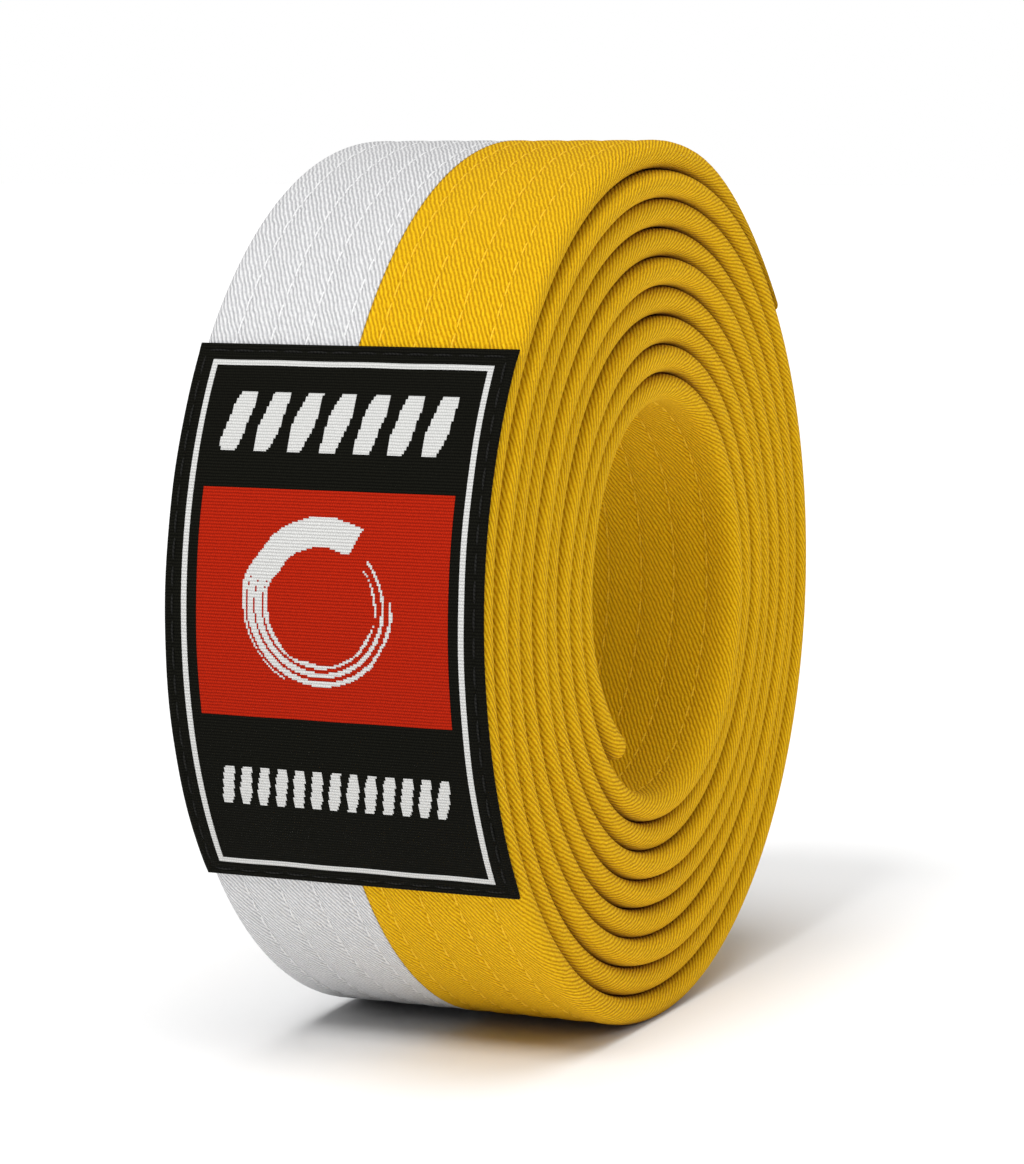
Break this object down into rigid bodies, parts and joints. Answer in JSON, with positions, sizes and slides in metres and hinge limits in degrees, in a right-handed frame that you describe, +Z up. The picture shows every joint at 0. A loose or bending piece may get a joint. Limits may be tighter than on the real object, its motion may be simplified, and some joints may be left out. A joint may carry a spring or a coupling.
{
  "type": "martial arts belt",
  "caption": "Rolled two-colour martial arts belt: a twill strip round a cotton core, sewn in rows along its length, with a woven label.",
  "frame": {"origin": "middle of the small flat on the rim where the roll stands", "axes": "+X across the belt along the roll's axis, from the white edge to the yellow edge; -Y the way the label faces; +Z up"},
  "size_m": [0.04, 0.106, 0.1069],
  "materials": {
    "white_twill": "matt cotton twill",
    "yellow_twill": "matt cotton twill",
    "cotton_core": "plain unbleached cotton",
    "white_thread": "spun sewing thread",
    "yellow_thread": "spun sewing thread",
    "label_black": "woven satin label",
    "label_white": "woven satin figures",
    "label_red": "woven satin field",
    "black_thread": "spun sewing thread"
  },
  "bodies": {
    "roll": {"white_cover_roll": "white_twill", "yellow_cover_roll": "yellow_twill", "core_ply_1_roll": "cotton_core", "core_ply_2_roll": "cotton_core", "core_ply_3_roll": "cotton_core", "core_ply_4_roll": "cotton_core", "white_needle_threads_roll": "white_thread", "yellow_needle_threads_roll": "yellow_thread", "white_bobbin_threads_roll": "white_thread", "yellow_bobbin_threads_roll": "yellow_thread", "panel_seam_roll": "white_thread", "label_patch": "label_black", "label_frame_line": "label_white", "label_red_field": "label_red", "label_emblem": "label_white", "label_upper_bar": "label_white", "label_lower_bar": "label_white", "label_edge_stitches": "black_thread"},
    "outer_end_1": {"white_cover_outer_1": "white_twill", "yellow_cover_outer_1": "yellow_twill", "core_plies_outer_1": "cotton_core", "white_threads_outer_1": "white_thread", "yellow_threads_outer_1": "yellow_thread", "panel_seam_outer_1": "white_thread"},
    "outer_end_2": {"white_cover_outer_2": "white_twill", "yellow_cover_outer_2": "yellow_twill", "core_plies_outer_2": "cotton_core", "white_threads_outer_2": "white_thread", "yellow_threads_outer_2": "yellow_thread", "panel_seam_outer_2": "white_thread"},
    "outer_end_3": {"white_cover_outer_3": "white_twill", "yellow_cover_outer_3": "yellow_twill", "core_plies_outer_3": "cotton_core", "white_threads_outer_3": "white_thread", "yellow_threads_outer_3": "yellow_thread", "panel_seam_outer_3": "white_thread", "outer_hem_stitches": "yellow_thread"},
    "inner_end": {"white_cover_inner": "white_twill", "yellow_cover_inner": "yellow_twill", "core_plies_inner": "cotton_core", "white_threads_inner": "white_thread", "yellow_threads_inner": "yellow_thread", "panel_seam_inner": "white_thread", "inner_hem_stitches": "yellow_thread"}
  },
  "joints": [
    {"name": "outer_end_peel_1", "type": "hinge", "parent": "roll", "child": "outer_end_1", "pos_m": [0, -0.03649, 0.09253], "axis": [1, 0, 0], "range_deg": [0, 33]},
    {"name": "outer_end_peel_2", "type": "hinge", "parent": "outer_end_1", "child": "outer_end_2", "pos_m": [0, -0.01112, 0.10573], "axis": [1, 0, 0], "range_deg": [0, 33]},
    {"name": "outer_end_peel_3", "type": "hinge", "parent": "outer_end_2", "child": "outer_end_3", "pos_m": [0, 0.01799, 0.10389], "axis": [1, 0, 0], "range_deg": [0, 33]},
    {"name": "inner_end_swing", "type": "hinge", "parent": "roll", "child": "inner_end", "pos_m": [0, -0.02162, 0.04881], "axis": [1, 0, 0], "range_deg": [-4, 45]}
  ],
  "couplings": [
    {"joint": "outer_end_peel_2", "follows": "outer_end_peel_1", "ratio": 1},
    {"joint": "outer_end_peel_3", "follows": "outer_end_peel_1", "ratio": 1}
  ]
}
